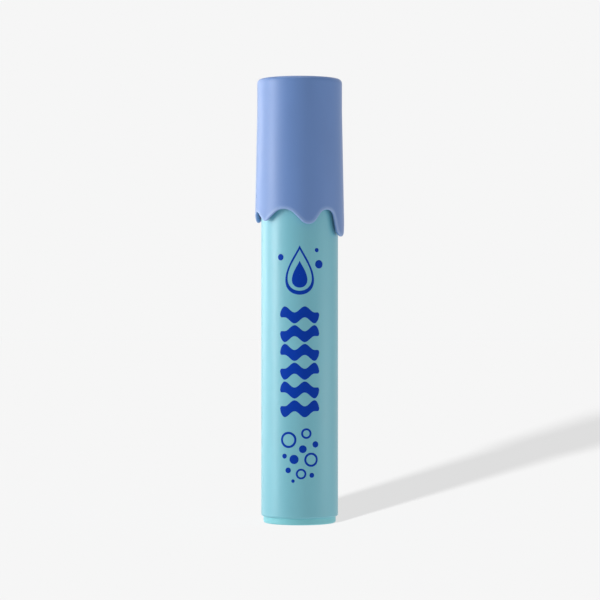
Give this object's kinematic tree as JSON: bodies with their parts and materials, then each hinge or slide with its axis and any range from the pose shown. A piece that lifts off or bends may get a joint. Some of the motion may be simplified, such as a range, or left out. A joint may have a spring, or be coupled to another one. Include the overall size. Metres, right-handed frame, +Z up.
{
  "type": "stain remover pen",
  "caption": "Upright stain remover pen: slim round barrel with a press-tip applicator under a flared pull-off cap whose skirt ends in rounded drips.",
  "frame": {"origin": "centre of the object's bounding box in plan, at the level of the foot ring it stands on", "axes": "+Z up along the pen's axis, -Y towards the side that carries the print, +X towards the skirt's longest drip"},
  "size_m": [0.0255, 0.0255, 0.127],
  "materials": {
    "cap_plastic": "satin",
    "barrel_plastic": "satin",
    "plug_plastic": "satin",
    "white_plastic": "satin",
    "natural_plastic": "satin",
    "soft_seal": "matte",
    "gasket_rubber": "matte",
    "cushion_foam": "matte",
    "cleaner": "gloss",
    "spring_steel": "satin",
    "nib_felt": "matte"
  },
  "bodies": {
    "pen": {"barrel": "barrel_plastic", "base_plug": "plug_plastic", "base_cushion": "cushion_foam", "inner_bottle": "natural_plastic", "cleaning_fluid": "cleaner", "collar": "white_plastic", "valve_gasket": "gasket_rubber", "valve_body": "natural_plastic", "valve_cage": "natural_plastic", "valve_spring": "spring_steel"},
    "cap": {"cap_shell": "cap_plastic", "cap_liner": "white_plastic", "cap_inner_seal": "soft_seal"},
    "tip": {"nib": "nib_felt", "nib_holder": "white_plastic", "valve_stem": "natural_plastic", "valve_seal_ring": "gasket_rubber"}
  },
  "joints": [
    {"name": "cap_pull", "type": "slide", "parent": "pen", "child": "cap", "axis": [0, 0, 1], "range_m": [0, 0.045]},
    {"name": "nib_press", "type": "slide", "parent": "pen", "child": "tip", "axis": [0, 0, -1], "range_m": [0, 0.0025], "stiffness_N_per_m": 500, "deforming": ["valve_spring"]}
  ]
}
